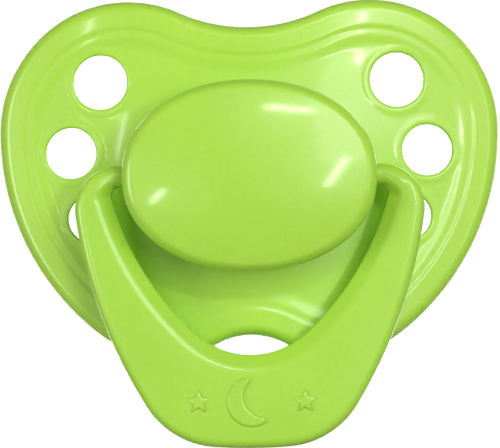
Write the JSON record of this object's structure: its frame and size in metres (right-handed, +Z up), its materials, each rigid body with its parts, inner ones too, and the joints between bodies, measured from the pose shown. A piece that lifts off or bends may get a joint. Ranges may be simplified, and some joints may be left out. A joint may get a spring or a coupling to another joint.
{
  "type": "pacifier",
  "caption": "Baby's pacifier: a vented butterfly shield with a soft hollow teat behind it, an oval front cover and a hinged drop ring to hold it by.",
  "frame": {"origin": "on the teat's axis, at the middle of the shield's mouth-side face", "axes": "+X to the viewer's right across the wings, +Y into the mouth along the teat, +Z up towards the nose notch; the front cover and the ring face -Y"},
  "size_m": [0.047, 0.0363, 0.0411],
  "materials": {
    "green_plastic": "smooth glossy lime-green moulded plastic",
    "silicone": "soft satin clear silicone with a warm tint"
  },
  "bodies": {
    "mouthpiece": {"shield": "green_plastic", "teat": "silicone", "teat_plug": "green_plastic", "cover": "green_plastic"},
    "ring": {"ring_handle": "green_plastic"}
  },
  "joints": [
    {"name": "ring_hinge", "type": "hinge", "parent": "mouthpiece", "child": "ring", "pos_m": [0, -0.0044, 0], "axis": [-1, 0, 0], "range_deg": [0, 180]}
  ]
}
